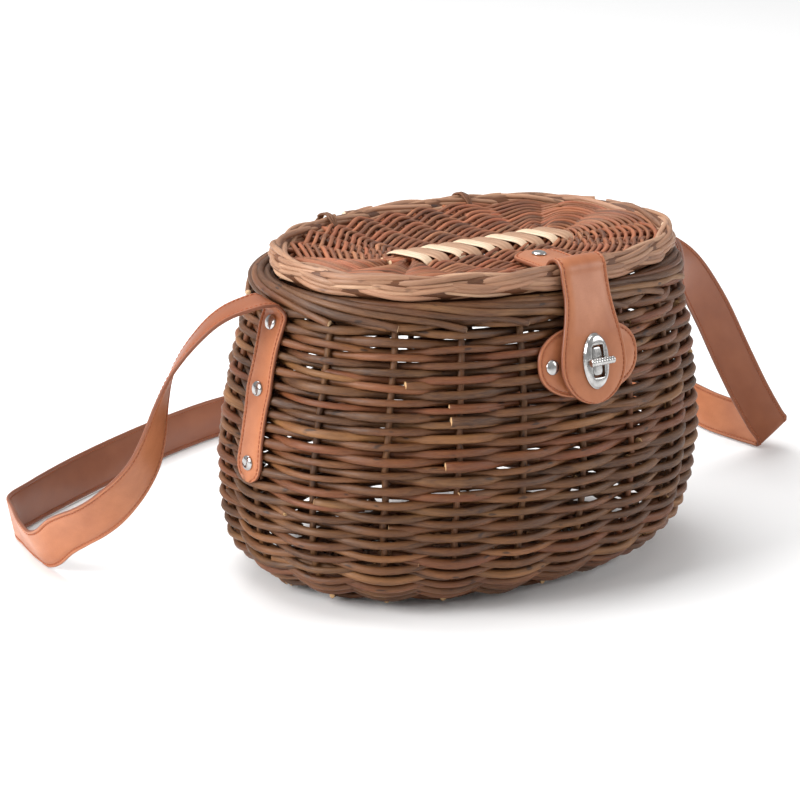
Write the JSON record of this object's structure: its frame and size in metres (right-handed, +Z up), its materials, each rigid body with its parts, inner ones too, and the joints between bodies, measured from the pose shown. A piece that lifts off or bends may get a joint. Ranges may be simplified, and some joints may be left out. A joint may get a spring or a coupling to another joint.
{
  "type": "fishing creel bag",
  "caption": "Oval wicker basket with a hinged wicker lid, a leather closing tab with a turn lock and a leather shoulder strap lying round its back.",
  "frame": {"origin": "the middle of the basket's underside, on the surface it stands on", "axes": "+X along the basket's length towards its right end, -Y towards the front with the lock, +Z up"},
  "size_m": [0.638, 0.4425, 0.231],
  "materials": {
    "brown_willow": "dried willow rods with the bark on, brown with red, grey and green tints, satin",
    "rim_willow": "thicker willow rods with the bark on, laid side by side, satin",
    "lid_willow": "thin reddish brown willow rods, woven, satin",
    "peeled_willow": "peeled buff willow rods, satin",
    "split_willow": "flat split white willow, matt to satin",
    "tan_leather": "smooth tan leather with a raised edge and a stitched line, brown on the inner side",
    "bright_metal": "bright plated steel, polished"
  },
  "bodies": {
    "basket": {"basket_body": "brown_willow", "basket_rim": "rim_willow", "hinge_loop_left": "peeled_willow", "hinge_loop_right": "peeled_willow", "shoulder_strap": "tan_leather", "strap_rivet_left_1": "bright_metal", "strap_rivet_left_2": "bright_metal", "strap_rivet_left_3": "bright_metal", "strap_rivet_right_1": "bright_metal", "strap_rivet_right_2": "bright_metal", "strap_rivet_right_3": "bright_metal", "clasp_patch": "tan_leather", "patch_rivet": "bright_metal", "lock_base": "bright_metal"},
    "lid": {"lid_panel": "lid_willow", "lid_border": "peeled_willow", "lid_wrap_1": "split_willow", "lid_wrap_2": "split_willow", "lid_wrap_3": "split_willow", "lid_wrap_4": "split_willow", "lid_wrap_5": "split_willow", "closure_tab": "tan_leather", "tab_rivet_1": "bright_metal", "tab_rivet_2": "bright_metal", "lock_plate": "bright_metal"},
    "knob": {"turn_knob": "bright_metal"}
  },
  "joints": [
    {"name": "lid_hinge", "type": "hinge", "parent": "basket", "child": "lid", "pos_m": [0, 0.0801, 0.2193], "axis": [-1, 0, 0], "range_deg": [0, 100]},
    {"name": "knob_turn", "type": "hinge", "parent": "basket", "child": "knob", "pos_m": [0.002, -0.11841, 0.16565], "axis": [0, -0.9795, 0.2017], "range_deg": [0, 90]}
  ]
}
